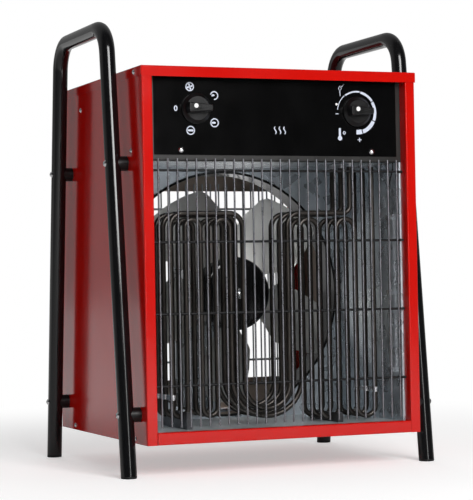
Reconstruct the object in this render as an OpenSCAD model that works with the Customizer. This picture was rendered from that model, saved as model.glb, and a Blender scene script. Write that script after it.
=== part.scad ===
// Free-standing electric fan heater in a tubular carrying frame.
// Origin: floor level under the middle of the whole heater, +Z up, the hot air leaves towards -Y.
// Depths are counted from the front edge of the casing, heights from its base.

/* [Casing] */
// Width over the two side panels
box_w = 466; // [452:1:500]
// Depth of the side panels
box_d = 450; // [445:1:480]
// Height from the base to the top of the lid
box_h = 580; // [570:1:610]
// Clearance between the floor and the base
ground_gap = 50; // [35:1:70]
// Thickness of the casing sheet
sheet_t = 1.2; // [1:0.1:1.5]
// Inside radius of a sheet bend
bend_in = 0.8; // [0.4:0.1:1.2]
// Width of the folded strip beside the front and rear openings
fold_w = 17; // [14:1:18]
// Depth of the return flange behind that strip
flange_d = 20; // [19:1:24]
// Height of the lid's front and rear lips
lid_lip_h = 16.3; // [14:0.1:20]
// Height of the lid's side lips
lid_side_h = 14.5; // [13:0.1:16]
// Running gap between the lid's lips and the side panels
lid_gap = 0.3; // [0.1:0.1:0.6]
// Height of the base rail below the openings
rail_h = 19; // [17:1:22]
// Height of the rear opening's lower edge
inlet_low = 73; // [60:1:90]
// Height of the rear opening's upper edge
inlet_high = 410; // [390:1:420]
// Width of the rear opening
inlet_w = 404; // [390:1:410]

/* [Tube frame] */
// Outer diameter of the frame tube
tube_d = 25; // [24:0.5:28]
// Wall of the frame tube
tube_wall = 1.5; // [1.2:0.1:2]
// Height of the handle's top above the floor
frame_h = 714; // [700:1:740]
// Spread of a frame's two legs at the floor, between centres
leg_floor_w = 400; // [380:1:420]
// Spread of a frame's two legs at the height of the top bar, between centres
leg_top_w = 246; // [230:1:270]
// Centreline radius of the tube bends
bend_r = 48; // [42:1:60]
// Length of the spacers between the panels and the frame
stand_off = 10; // [6:0.5:14]
// Diameter of the spacers
spacer_d = 23; // [18:0.5:24]
// Height above the floor of the lower frame bolts
bolt_low = 96; // [90:1:110]
// Height above the floor of the upper frame bolts
bolt_high = 484.5; // [475:0.5:490]
// Thread diameter of the frame bolts
bolt_d = 6; // [5:0.5:6.5]

/* [Air duct] */
// Inside width of the duct
duct_w = 424; // [420:1:428]
// Height of the duct floor
duct_low = 17; // [16:1:18]
// Height of the duct roof
duct_high = 437; // [435:1:442]
// Depth of the fan bulkhead
bulkhead_depth = 262; // [255:1:266]
// Inside diameter of the fan ring
ring_d = 408; // [396:1:410]
// Length of the fan ring
ring_l = 44; // [30:1:50]

/* [Grilles] */
// Diameter of the upright wires
wire_d = 3; // [2.5:0.1:3.4]
// Diameter of the cross wires
rung_d = 3.8; // [3.2:0.1:4.2]
// Distance between the upright wires
wire_pitch = 15.7; // [15:0.1:15.9]
// Number of upright wires in the front grille
wire_count = 27; // [23:2:27]
// Number of upright wires in the rear grille
rear_wire_count = 25; // [21:2:25]
// Depth of the front grille's upright wires
grille_depth = 13; // [11:0.5:14]
// Height of the lower ends of the front wires
wire_low = 25; // [22:1:30]
// Height of the upper ends of the front wires
wire_high = 439; // [430:1:441]
// Height of the lowest cross wire
rung_low = 88.5; // [80:0.5:95]
// Distance between the cross wires
rung_pitch = 110.7; // [105:0.1:112]

/* [Heating elements] */
// Diameter of the element tube
element_d = 8.5; // [8:0.1:8.6]
// Depth of the first element
element_depth = 87; // [80:1:92]
// Distance between the elements
row_pitch = 33; // [30:0.5:35]
// Distance between the legs on the terminal side
right_pitch = 32.8; // [31:0.1:33]
// Distance between the legs on the far side
left_pitch = 25.5; // [24.5:0.1:26]
// Place across the duct of the inner leg on the terminal side
inner_right = 42; // [40:0.5:43]
// Place across the duct of the inner leg on the far side
inner_left = -36; // [-38:0.5:-34]
// Distance between the inner and outer legs of the middle loop
loop_gap = 22; // [21:0.5:23]
// Height of the long top runs
run_high = 356.8; // [354:0.1:362]
// Height of the top bends below the runs
arch_high = 347; // [344:0.1:347.5]
// Height of the bottom bends on the terminal side
right_low = 23.5; // [22.5:0.1:26]
// Height of the bottom bends on the far side
left_low = 35.5; // [33:0.1:38]
// Height of the outer middle loop's bottom
outer_low = 31; // [28:0.1:33]
// Height of the inner middle loop's bottom
inner_low = 43; // [42:0.1:46]
// Place across the duct of the first terminal
terminal_x = 155; // [152:0.5:158]

/* [Fan and motor] */
// Diameter over the blade tips
fan_d = 368; // [340:1:380]
// Number of blades
blade_count = 5; // [4:1:6]
// Pitch angle of the blades
blade_pitch = 32; // [24:1:36]
// Diameter of the hub
hub_d = 124; // [110:1:130]
// Depth of the middle of the blades
fan_depth = 236; // [232:1:238]
// Diameter of the motor body
motor_d = 114; // [106:1:120]
// Diameter of the motor shaft
shaft_d = 12; // [11:0.5:14]

/* [Controls] */
// Distance of each knob from the middle of the panel
knob_x = 138; // [130:1:142]
// Height of the knobs
knob_h = 516.8; // [512:0.1:522]
// Diameter of a knob's skirt
knob_d = 48; // [40:1:52]
// Height of a knob above the panel
knob_l = 24; // [20:1:28]
// Width of the control plate
plate_w = 415.4; // [400:0.2:420]
// Height of the control plate's lower edge
plate_low = 445; // [443:1:447]
// Height of the control plate's upper edge
plate_high = 573; // [568:1:576]
// Thickness of the control plate
plate_t = 1.5; // [1:0.1:2]
// Travel of the reset button
reset_travel = 2; // [1:0.5:2.5]
// Travel of the contactor's armature
armature_travel = 4; // [2:0.5:5]

/* [Hidden] */
$fn = 64;

// One overrun for every cut
over = 1;
// Clearance of parts that seat in each other
seat = 0.05;

// Reach in front of and behind the casing, which puts the casing's middle off the origin
gland_hex_t = 6;
gland_cap_l = 18;
front_reach = max(knob_l + plate_t - flange_d, lid_gap + sheet_t);
rear_reach = gland_hex_t + gland_cap_l;
mid_y = (front_reach - rear_reach) / 2;

// Planes of the casing
side_x = box_w / 2;
inner_x = side_x - sheet_t;
front_y = mid_y - box_d / 2;
rear_y = mid_y + box_d / 2;
strip_x = side_x - fold_w;
fin_x = strip_x - lid_gap;
lid_under_h = box_h - sheet_t;
function at_depth(d) = front_y + d;
function at_height(h) = ground_gap + h;

// Case screws
screw_d = 4;
screw_head_d = 8;
screw_head_h = 2.4;
screw_l = 8;
screw_hole_d = screw_d + 4 * seat;
head_edge_share = 0.4;
head_top_share = 0.6;
lid_screw_depth = 33;
lid_screw_drop = 7.5;
roof_screw_depth = 56;
roof_screw_rise = 16;
tab_screw_depth = 313.5;
tab_screw_rise = 102;
tab_w = 36;
pan_screw_rise = 7.5;
pan_screw_depth = 371;

// Folded edges of the inner sheets
roof_flange_h = 23;
tab_margin = 10;
hem = 16;
pan_lip = 12;
inner_flange_x = inner_x - sheet_t;
liner_flange_x = inner_flange_x - seat;
bulkhead_flange = 15;
inlet_flange = 8;

// Tube frame
tube_r = tube_d / 2;
tube_in_r = tube_r - tube_wall;
frame_x = side_x + stand_off + tube_r;
bar_z = frame_h - tube_r;
leg_slope = (leg_floor_w - leg_top_w) / 2 / bar_z;
leg_tilt = atan(leg_slope);
bend_tangent = bend_r * tan((90 - leg_tilt) / 2);
bend_y = leg_top_w / 2 - bend_tangent;
function leg_y(z) = leg_floor_w / 2 - leg_slope * z;
weld_gap = 0.2;
weld_l = 1;
cap_t = 4;
cap_plug = 18;
bolt_head_d = 10.5;
bolt_head_h = 3.3;
bolt_hole_d = bolt_d + 8 * seat;
nut_w = 11.5;
nut_t = 5;
bolt_end = 2;

// Fan axis and ring
axis_z = at_height((duct_low + duct_high) / 2);
ring_r = ring_d / 2;
bead = 4;
hub_r = hub_d / 2;
hub_front = 31;
hub_back = 26;
hub_wall = 2.5;
boss_r = 14;
boss_l = 34;
shaft_r = shaft_d / 2;
blade_t = 2;
petal_r = 58;
root_share = 0.46;
blade_turn = -32;
nut_r = 9.8;
nut_h = 8;
nut_dome = 7;
hub_y = at_depth(fan_depth - hub_front);
hub_rear_y = at_depth(fan_depth + hub_back);

// Motor
motor_gap = 13;
shell_l = 40;
core_l = 45;
shell_wall = 3;
motor_y = hub_rear_y + motor_gap;
core_y = motor_y + shell_l;
core_end_y = core_y + core_l;
motor_end_y = core_end_y + shell_l;
motor_r = motor_d / 2;
bearing_r = 16;
bearing_w = 10;
bearing_wall = 4;
bearing_lip = 2;
rotor_r = 31.5;
air_gap = 0.5;
coil_in = 3;
coil_out = 8;
coil_l = 12;
rotor_over = 2;
bracket_w = 76;
bracket_t = 2.5;
bracket_flange = 22;
bracket_bolt = 26;
shaft_over = 5;

// Wire grilles
wire_r = wire_d / 2;
rung_r = rung_d / 2;
weld = 0.3;
rung_count = 4;
rung_over = 1.8;
rear_over = 13;
rear_rung_over = 4;

// Heating element
element_r = element_d / 2;
left_r = left_pitch / 2;
right_r = right_pitch / 2;
corner_r = loop_gap;
terminal_bend = 12;
outer_right = inner_right + loop_gap;
outer_left = inner_left - loop_gap;
inner_r = (inner_right - inner_left) / 2;
outer_r = (outer_right - outer_left) / 2;
loop_x = (inner_right + inner_left) / 2;
last_right = outer_right + 4 * right_pitch;
last_left = outer_left - 4 * left_pitch;
cold_end = 12;
cold_end_h = duct_high + cold_end;
rows = [0, 1, 2];
ferrule_r = 8;
ferrule_h = 5;
thread_r = 6.5;
thread_h = 9;
ferrule_nut_r = 9;
ferrule_nut_h = 4;
bead_r = 4;
bead_h = 5;
stud_r = 2;
stud_h = 14;
comb_t = 2;
comb_foot = 9;
comb_front = 32;
comb_rear = 13;
comb_rise = 9;
clip_wall = 1.6;
clip_h = 8;
clip_low = 62;
clip_bar = 2;

// Knobs, shafts and the parts behind the panel
carrier_y = at_depth(flange_d);
plate_y = carrier_y - plate_t;
behind_y = carrier_y + sheet_t;
spindle_r = 3;
spindle_hole_r = 4.5;
spindle_in = 14;
knob_r = knob_d / 2;
knob_gap = 0.5;
skirt_h = 3;
shoulder_h = 9;
shoulder_r = 18.5;
grip_r = 20.5;
grip_wide = 8.6;
grip_narrow = 4.6;
spindle_out = 12;
panel_screw_x = 163.5;
panel_screw_rise = 7.6;
panel_screw_d = 4;
panel_screw_head = 9.4;
panel_screw_head_h = 2.6;
panel_screw_l = 8;
switch_w = 44;
switch_l = 46;
blade_w = 6.3;
blade_l = 8;
blade_thin = 0.8;
blade_step = 10;
stat_w = 38;
stat_l = 22;
drum_r = 16;
drum_l = 10;
reset_x = 102;
reset_rise = 11.2;
reset_r = 1.9;
reset_out = 1;
reset_l = 17;
reset_head_r = 3.6;
reset_head_t = 1.2;
cutout_w = 16;
cutout_h = 24;
cutout_l = 30;
well_r = 4.2;
well_l = 10;
spring_in = 2.4;
spring_out = 3.2;
bulb_gap = 4.5;
bulb_x = duct_w / 2 - bulb_gap;
bulb_depth = 50;
bulb_r = 2.75;
bulb_low = 90;
bulb_high = 353;
capillary_r = 1;
capillary_drop = 12;
capillary_jog = 28;
capillary_front = flange_d + sheet_t + stat_l / 2;
knuckle_r = 1.6;
clip_reach = 8.4;
clip_w = 10;
grommet_r = 2.2;

// Electrical compartment
roof_top_h = duct_high + sheet_t;
contactor_size = [45, 75, 85];
contactor_x = -20;
contactor_depth = 120;
armature_size = [12, 16, 30];
armature_out = armature_travel + 1;
armature_well = 40;
slide_gap = 0.3;
capacitor_r = 17.5;
capacitor_l = 65;
capacitor_x = -120;
capacitor_depth = 230;
block_size = [92, 30, 28];
block_x = 100;
block_depth = 360;
block_ways = 6;
gland_x = 150;
gland_h = 500;
gland_bore_r = 7;
gland_thread_r = 10;
gland_hex_r = 14.5;
gland_cap_r = 12.5;
gland_in = 14;
gland_nut_r = 14.5;
gland_nut_t = 5;

red = [0.80, 0.03, 0.01];
black = [0.05, 0.05, 0.055];
zinc = [0.70, 0.74, 0.78];
steel = [0.55, 0.55, 0.57];
element_grey = [0.20, 0.19, 0.18];

// Unit direction from one point of an outline to the next
function way(a, b) = (b - a) / norm(b - a);

// Outline of a folded sheet along square-cornered centreline points, with rounded bends
module folded(pts, t = sheet_t) {
    rc = bend_in + t / 2;
    last = len(pts) - 1;
    for (i = [0:last - 1]) {
        d = way(pts[i], pts[i + 1]);
        a = pts[i] + (i > 0 ? d * rc : [0, 0]);
        b = pts[i + 1] - (i < last - 1 ? d * rc : [0, 0]);
        across = [abs(d.y), abs(d.x)] * t;
        translate([min(a.x, b.x), min(a.y, b.y)] - across / 2)
            square([abs(b.x - a.x), abs(b.y - a.y)] + across);
    }
    for (i = [1:1:last - 1]) {
        before = way(pts[i - 1], pts[i]);
        after = way(pts[i], pts[i + 1]);
        out = before - after;
        translate(pts[i] - out * rc) intersection() {
            difference() {
                circle(rc + t / 2);
                circle(rc - t / 2);
            }
            translate([out.x < 0 ? -rc - t : 0, out.y < 0 ? -rc - t : 0]) square(rc + t);
        }
    }
}

// Extrusions of an outline along each axis
module along_x(x0, x1) { translate([x0, 0, 0]) rotate([90, 0, 90]) linear_extrude(x1 - x0) children(); }
module along_y(y0, y1) { translate([0, y1, 0]) rotate([90, 0, 0]) linear_extrude(y1 - y0) children(); }
module along_z(z0, z1) { translate([0, 0, z0]) linear_extrude(z1 - z0) children(); }

// Round bars along X and Y
module rod_x(x0, x1, r) { translate([x0, 0, 0]) rotate([0, 90, 0]) cylinder(h = x1 - x0, r = r); }
module rod_y(y0, y1, r) { translate([0, y0, 0]) rotate([-90, 0, 0]) cylinder(h = y1 - y0, r = r); }

// Box from its low and high corners
module block(lo, hi) { translate(lo) cube(hi - lo); }

module both_sides() {
    children();
    mirror([1, 0, 0]) children();
}

// Places of the case screws on one side: depth, height, outer face of the sheet under the head
lid_x = side_x + lid_gap + sheet_t;
case_screw_places = [
    [lid_screw_depth, box_h - lid_screw_drop, lid_x],
    [box_d - lid_screw_depth, box_h - lid_screw_drop, lid_x],
    [roof_screw_depth, duct_high + roof_screw_rise, side_x],
    [tab_screw_depth, duct_high + tab_screw_rise, side_x],
    [roof_screw_depth, pan_screw_rise, side_x],
    [pan_screw_depth, pan_screw_rise, side_x]];

module case_screw_holes() {
    for (p = case_screw_places) translate([0, at_depth(p[0]), at_height(p[1])])
        rod_x(side_x - 3 * sheet_t, side_x + 3 * sheet_t, screw_hole_d / 2);
}

// Screw or bolt head that rises along +X from a flat seat, with a bevelled edge
module head_x(x0, r, h) {
    translate([x0, 0, 0]) rotate([0, 90, 0]) rotate_extrude()
        polygon([[0, 0], [r, 0], [r, h * head_edge_share], [r * head_top_share, h], [0, h]]);
}

// Places of the frame bolts on one side
module at_bolts() {
    for (z = [bolt_low, bolt_high]) for (s = [-1, 1]) translate([0, mid_y + s * leg_y(z), z]) children();
}

// Side panel: one sheet folded round the front and rear edges
module side_panel() {
    fold_cx = strip_x + sheet_t / 2;
    wall_cx = side_x - sheet_t / 2;
    front_cy = front_y + sheet_t / 2;
    rear_cy = rear_y - sheet_t / 2;
    difference() {
        along_z(at_height(0), at_height(lid_under_h - lid_gap)) folded([
            [fold_cx, front_y + flange_d], [fold_cx, front_cy], [wall_cx, front_cy],
            [wall_cx, rear_cy], [fold_cx, rear_cy], [fold_cx, rear_y - flange_d]]);
        case_screw_holes();
        at_bolts() rod_x(side_x - 2 * sheet_t, side_x + over, bolt_hole_d / 2);
        for (i = [0:rung_count - 1]) translate([0, rung_y(), at_height(rung_low + i * rung_pitch)])
            rod_x(strip_x - over, strip_x + 2 * sheet_t, rung_r + 2 * seat);
    }
}
module side_panel_right() { color(red) side_panel(); }
module side_panel_left() { color(red) mirror([1, 0, 0]) side_panel(); }

// Lid: a shallow tray that closes the top, with lips over all four sides
module top_cover() {
    top_c = at_height(box_h - sheet_t / 2);
    front_cy = front_y - lid_gap - sheet_t / 2;
    rear_cy = rear_y + lid_gap + sheet_t / 2;
    lip_cx = lid_x - sheet_t / 2;
    color(red) difference() {
        union() {
            along_x(-lid_x + bend_in, lid_x - bend_in) folded([
                [front_cy, at_height(box_h - lid_lip_h)], [front_cy, top_c],
                [rear_cy, top_c], [rear_cy, at_height(box_h - lid_lip_h)]]);
            along_y(front_y - lid_gap, rear_y + lid_gap) folded([
                [-lip_cx, at_height(box_h - lid_side_h)], [-lip_cx, top_c],
                [lip_cx, top_c], [lip_cx, at_height(box_h - lid_side_h)]]);
        }
        both_sides() case_screw_holes();
    }
}

// Base: a tray whose front and rear rails stand flush with the casing's strips
module base_pan() {
    front_cy = front_y + sheet_t / 2;
    rear_cy = rear_y - sheet_t / 2;
    mid = sheet_t / 2;
    color(red) difference() {
        union() {
            along_x(-fin_x, fin_x) folded([
                [front_y + pan_lip, at_height(rail_h - mid)], [front_cy, at_height(rail_h - mid)],
                [front_cy, at_height(mid)], [rear_cy, at_height(mid)],
                [rear_cy, at_height(rail_h - mid)], [rear_y - pan_lip, at_height(rail_h - mid)]]);
            along_y(front_y + flange_d + lid_gap, rear_y - flange_d - lid_gap) folded([
                [-inner_x + mid, at_height(rail_h)], [-inner_x + mid, at_height(mid)],
                [inner_x - mid, at_height(mid)], [inner_x - mid, at_height(rail_h)]]);
        }
        both_sides() case_screw_holes();
    }
}

// Rear panel with the flanged air inlet and the cable entry
module rear_panel() {
    panel_cy = rear_y - sheet_t / 2;
    side_cx = fin_x - sheet_t / 2;
    inlet = inlet_w / 2;
    inlet_y = rear_y - sheet_t - inlet_flange;
    color(red) difference() {
        union() {
            along_z(at_height(rail_h + lid_gap), at_height(lid_under_h - lid_gap)) folded([
                [-side_cx, rear_y - hem], [-side_cx, panel_cy], [side_cx, panel_cy], [side_cx, rear_y - hem]]);
            block([-inlet - sheet_t, inlet_y, at_height(inlet_low - sheet_t)],
                [inlet + sheet_t, rear_y - sheet_t / 2, at_height(inlet_high + sheet_t)]);
        }
        block([-inlet, inlet_y - over, at_height(inlet_low)], [inlet, rear_y + over, at_height(inlet_high)]);
        translate([gland_x, 0, at_height(gland_h)]) rod_y(rear_y - 2 * sheet_t, rear_y + over, gland_thread_r + 2 * seat);
    }
}

// Holes in the carrier and the plate for the spindles, the reset button and the screws
module panel_holes() {
    for (s = [-1, 1]) {
        translate([s * knob_x, 0, at_height(knob_h)]) rod_y(plate_y - over, behind_y + over, spindle_hole_r);
        translate([s * panel_screw_x, 0, at_height(plate_low + panel_screw_rise)])
            rod_y(plate_y - over, behind_y + over, panel_screw_d / 2 + seat);
    }
    translate([reset_x, 0, at_height(knob_h + reset_rise)]) rod_y(plate_y - over, behind_y + over, reset_r + 4 * seat);
}

// Grey carrier sheet behind the control plate, hemmed backwards at top and bottom
module control_carrier() {
    mid = sheet_t / 2;
    color(zinc) difference() {
        along_x(-liner_flange_x, liner_flange_x) folded([
            [carrier_y + hem, at_height(duct_high - mid)], [carrier_y + mid, at_height(duct_high - mid)],
            [carrier_y + mid, at_height(lid_under_h - mid)], [carrier_y + hem, at_height(lid_under_h - mid)]]);
        panel_holes();
        at_capillary() translate([0, 0, -over]) cylinder(h = 2 * sheet_t + 2 * over, r = grommet_r);
    }
}

// Black control plate
module control_plate() {
    color(black) difference() {
        block([-plate_w / 2, plate_y, at_height(plate_low)], [plate_w / 2, carrier_y, at_height(plate_high)]);
        panel_holes();
    }
}

// Place where the capillary passes through the roof of the duct
module at_capillary() { translate([bulb_x, at_depth(capillary_front), at_height(duct_high - sheet_t)]) children(); }

// Place of each element terminal
module at_terminals() {
    for (row = rows) for (x = [terminal_x, last_right]) translate([x, row_y(row), 0]) children();
}

// Zinc-coated roof of the duct, which also carries the electrical parts
module duct_roof() {
    mid = at_height(duct_high + sheet_t / 2);
    wall = inner_x - sheet_t / 2;
    roof_front = carrier_y + sheet_t + bend_in + seat;
    roof_rear = rear_y - flange_d - lid_gap;
    tab_y = at_depth(tab_screw_depth);
    color(zinc) difference() {
        union() {
            along_y(roof_front, roof_rear) folded([
                [-wall, at_height(duct_high + roof_flange_h)], [-wall, mid],
                [wall, mid], [wall, at_height(duct_high + roof_flange_h)]]);
            both_sides() block([inner_flange_x, tab_y - tab_w / 2, at_height(duct_high + roof_flange_h / 2)],
                [inner_x, tab_y + tab_w / 2, at_height(duct_high + tab_screw_rise + tab_margin)]);
            block([-fin_x + hem, roof_rear - sheet_t, at_height(duct_high)],
                [fin_x - hem, rear_y - sheet_t - seat, at_height(roof_top_h)]);
        }
        both_sides() case_screw_holes();
        both_sides() at_bolts() rod_x(side_x - sheet_t - nut_t - over, side_x, nut_w);
        at_terminals() translate([0, 0, at_height(duct_high - over)])
            cylinder(h = sheet_t + 2 * over, r = thread_r + seat);
        at_capillary() cylinder(h = 3 * sheet_t, r = grommet_r);
    }
}

// Bulkhead between the duct and the fan, with the round outlet of the fan
module fan_bulkhead() {
    face_cy = at_depth(bulkhead_depth) + sheet_t / 2;
    edge = liner_flange_x - sheet_t / 2;
    color(zinc) difference() {
        along_z(at_height(sheet_t), at_height(duct_high)) folded([
            [-edge, face_cy + bulkhead_flange], [-edge, face_cy], [edge, face_cy], [edge, face_cy + bulkhead_flange]]);
        translate([0, 0, axis_z]) rod_y(face_cy - sheet_t, face_cy + sheet_t, ring_r + sheet_t + seat);
    }
}

// Fan ring with a rolled front bead that seats on the bulkhead
module fan_ring() {
    color(black) translate([0, at_depth(bulkhead_depth), axis_z]) difference() {
        union() {
            rod_y(-bead, 0, ring_r + bead);
            rod_y(-bead, ring_l, ring_r + sheet_t);
        }
        rod_y(-bead - over, ring_l + over, ring_r);
    }
}

// Duct side liner: a channel between the panel's return flange and the bulkhead
module duct_wall() {
    front_cy = at_depth(flange_d) + sheet_t / 2;
    rear_cy = at_depth(bulkhead_depth) - sheet_t / 2;
    wall_cx = duct_w / 2 + sheet_t / 2;
    color(zinc) along_z(at_height(sheet_t), at_height(duct_high - sheet_t)) folded([
        [liner_flange_x, front_cy], [wall_cx, front_cy], [wall_cx, rear_cy], [liner_flange_x, rear_cy]]);
}
module duct_wall_right() { duct_wall(); }
module duct_wall_left() { mirror([1, 0, 0]) duct_wall(); }

// Duct floor: a tray that stands on the base by its front and rear edges
module duct_floor() {
    front_cy = front_y + pan_lip + sheet_t;
    rear_cy = at_depth(bulkhead_depth) - sheet_t;
    color(zinc) along_x(-duct_w / 2 + seat, duct_w / 2 - seat) folded([
        [front_cy, at_height(sheet_t)], [front_cy, at_height(duct_low - sheet_t / 2)],
        [rear_cy, at_height(duct_low - sheet_t / 2)], [rear_cy, at_height(sheet_t)]]);
}

// Wire panel: upright wires welded to cross wires that lie on their inner side
function rung_y() = at_depth(grille_depth + wire_r + rung_r - weld);
module wires(count, y, low, high) {
    for (i = [0:count - 1]) translate([(i - (count - 1) / 2) * wire_pitch, y, low]) cylinder(h = high - low, r = wire_r);
}
module front_grille() {
    reach = strip_x + sheet_t + rung_over;
    color(black) union() {
        wires(wire_count, at_depth(grille_depth), at_height(wire_low), at_height(wire_high));
        for (i = [0:rung_count - 1]) translate([0, rung_y(), at_height(rung_low + i * rung_pitch)])
            rod_x(-reach, reach, rung_r);
    }
}
module rear_grille() {
    wire_y = rear_y - sheet_t - inlet_flange - wire_r;
    low = inlet_low - rear_over;
    high = inlet_high + rear_over;
    step = (high - low) / rung_count;
    reach = inlet_w / 2 + rear_rung_over;
    color(steel) union() {
        wires(rear_wire_count, wire_y, at_height(low), at_height(high));
        for (i = [0:rung_count - 1]) translate([0, wire_y - wire_r - rung_r + weld, at_height(low + (i + 1 / 2) * step)])
            rod_x(-reach, reach, rung_r);
    }
}

// Case screws: domed heads on the side panels and on the lid's lips
module case_screws() {
    color(steel) both_sides() for (p = case_screw_places) translate([0, at_depth(p[0]), at_height(p[1])]) union() {
        rod_x(p[2] - screw_l, p[2], screw_d / 2);
        head_x(p[2], screw_head_d / 2, screw_head_h);
    }
}

// Two screws that hold the control plate
module panel_screws() {
    color(black) for (s = [-1, 1]) translate([s * panel_screw_x, 0, at_height(plate_low + panel_screw_rise)]) union() {
        rod_y(plate_y, plate_y + panel_screw_l, panel_screw_d / 2);
        rotate([0, 0, -90]) head_x(-plate_y, panel_screw_head / 2, panel_screw_head_h);
    }
}

// Slanted leg from its bend to well below the floor, on the +Y side, with the given section
module leg(from = 0, length = frame_h + tube_d) {
    foot_y = leg_top_w / 2 + bend_tangent * sin(leg_tilt);
    foot_z = bar_z - bend_tangent * cos(leg_tilt);
    translate([0, foot_y, foot_z]) rotate([180 + leg_tilt, 0, 0]) translate([0, 0, from]) linear_extrude(length) children();
}

module tube_section(thicker = 0) {
    difference() {
        circle(tube_r + thicker);
        circle(tube_in_r - thicker);
    }
}

// Whole bent tube of one frame, with a thin weld ring at both ends of each bend
module frame_path() {
    weld_angle = weld_gap / bend_r * 180 / PI;
    for (s = [0, 1]) mirror([0, s, 0]) {
        leg(weld_gap) tube_section();
        leg(-weld_l / 2, weld_l) tube_section(seat);
        along_y(bend_y - weld_l / 2, bend_y + weld_l / 2) translate([0, bar_z]) tube_section(seat);
        translate([0, bend_y, bar_z - bend_r]) rotate([90, 0, 90]) rotate([0, 0, leg_tilt + weld_angle])
            rotate_extrude(angle = 90 - leg_tilt - 2 * weld_angle) translate([bend_r, 0]) tube_section();
    }
    along_y(-bend_y + weld_gap, bend_y - weld_gap) translate([0, bar_z]) tube_section();
}

module below_floor(z) {
    block([-frame_x, -frame_h, -frame_h], [frame_x, frame_h, z]);
}

// Carrying frame: one bent tube whose legs are the feet and whose top is the handle
module tube_frame() {
    color(black) translate([frame_x, 0, 0]) difference() {
        translate([0, mid_y, 0]) frame_path();
        below_floor(cap_t);
        at_bolts() rod_x(-tube_d, tube_d, bolt_hole_d / 2);
    }
}
module tube_frame_right() { tube_frame(); }
module tube_frame_left() { mirror([1, 0, 0]) tube_frame(); }

// Foot caps: a plug in each leg's end with a rim of the tube's diameter
module foot_caps() {
    color(black) both_sides() translate([frame_x, mid_y, 0]) for (s = [0, 1]) mirror([0, s, 0]) union() {
        intersection() {
            leg() circle(tube_r);
            block([-tube_d, 0, 0], [tube_d, frame_h, cap_t]);
        }
        intersection() {
            leg() circle(tube_in_r - seat);
            block([-tube_d, 0, 0], [tube_d, frame_h, cap_t + cap_plug]);
        }
    }
}

// Spacers: black sleeves with a saddle for the tube
module frame_spacers() {
    color(black) both_sides() difference() {
        at_bolts() rod_x(side_x, frame_x, spacer_d / 2);
        translate([frame_x, mid_y, 0]) for (s = [0, 1]) mirror([0, s, 0]) leg() circle(tube_r + seat);
        at_bolts() rod_x(side_x - over, frame_x, bolt_hole_d / 2);
    }
}

module frame_bolts() {
    head_x = frame_x + tube_r;
    color(steel) both_sides() at_bolts() union() {
        rod_x(inner_x - nut_t - bolt_end, head_x, bolt_d / 2);
        head_x(head_x, bolt_head_d / 2, bolt_head_h);
    }
}

module frame_nuts() {
    color(steel) both_sides() at_bolts() difference() {
        translate([inner_x - nut_t, 0, 0]) rotate([0, 90, 0]) cylinder(h = nut_t, d = nut_w, $fn = 6);
        rod_x(inner_x - nut_t - over, inner_x + over, bolt_d / 2 + seat);
    }
}

// Heating element, drawn in its own plane: X across the duct, Y the height
function row_y(row) = at_depth(element_depth + row * row_pitch);
module upright(x, low, high) {
    translate([x, low, 0]) rotate([-90, 0, 0]) cylinder(h = high - low, r = element_r);
}
module level(x0, x1, h) { translate([0, h, 0]) rod_x(x0, x1, element_r); }
module bend(x, h, r, from, turn) {
    translate([x, h, 0]) rotate([0, 0, from]) rotate_extrude(angle = turn) translate([r, 0]) circle(element_r);
}
module element_path() {
    left_top = arch_high - left_r;
    right_top = arch_high - right_r;
    left_base = left_low + left_r;
    right_base = right_low + right_r;
    outer_base = outer_low + outer_r;
    inner_base = inner_low + inner_r;
    run_end = run_high - corner_r;
    // terminal side, from the second terminal inwards
    upright(last_right, right_base, cold_end_h);
    for (i = [1:3]) upright(outer_right + i * right_pitch, right_base, right_top);
    for (i = [0, 2]) {
        bend(outer_right + (i + 1 / 2) * right_pitch, right_top, right_r, 0, 180);
        bend(outer_right + (i + 3 / 2) * right_pitch, right_base, right_r, 180, 180);
    }
    // middle loops
    upright(outer_right, outer_base, right_top);
    bend(loop_x, outer_base, outer_r, 180, 180);
    upright(outer_left, outer_base, left_top);
    upright(inner_right, inner_base, run_end);
    bend(loop_x, inner_base, inner_r, 180, 180);
    upright(inner_left, inner_base, run_end);
    // far side
    for (i = [1:3]) upright(outer_left - i * left_pitch, left_base, left_top);
    for (i = [0, 2]) {
        bend(outer_left - (i + 1 / 2) * left_pitch, left_top, left_r, 0, 180);
        bend(outer_left - (i + 3 / 2) * left_pitch, left_base, left_r, 180, 180);
    }
    upright(last_left, left_base, run_end);
    // long runs over the top bends
    bend(last_left + corner_r, run_end, corner_r, 90, 90);
    level(last_left + corner_r, inner_left - corner_r, run_high);
    bend(inner_left - corner_r, run_end, corner_r, 0, 90);
    bend(inner_right + corner_r, run_end, corner_r, 90, 90);
    level(inner_right + corner_r, terminal_x - terminal_bend, run_high);
    bend(terminal_x - terminal_bend, run_high + terminal_bend, terminal_bend, 270, 90);
    upright(terminal_x, run_high + terminal_bend, cold_end_h);
}
module heating_element(row) {
    color(element_grey) translate([0, row_y(row), at_height(0)]) rotate([90, 0, 0]) element_path();
}
module heating_element_front() { heating_element(0); }
module heating_element_middle() { heating_element(1); }
module heating_element_rear() { heating_element(2); }

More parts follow.
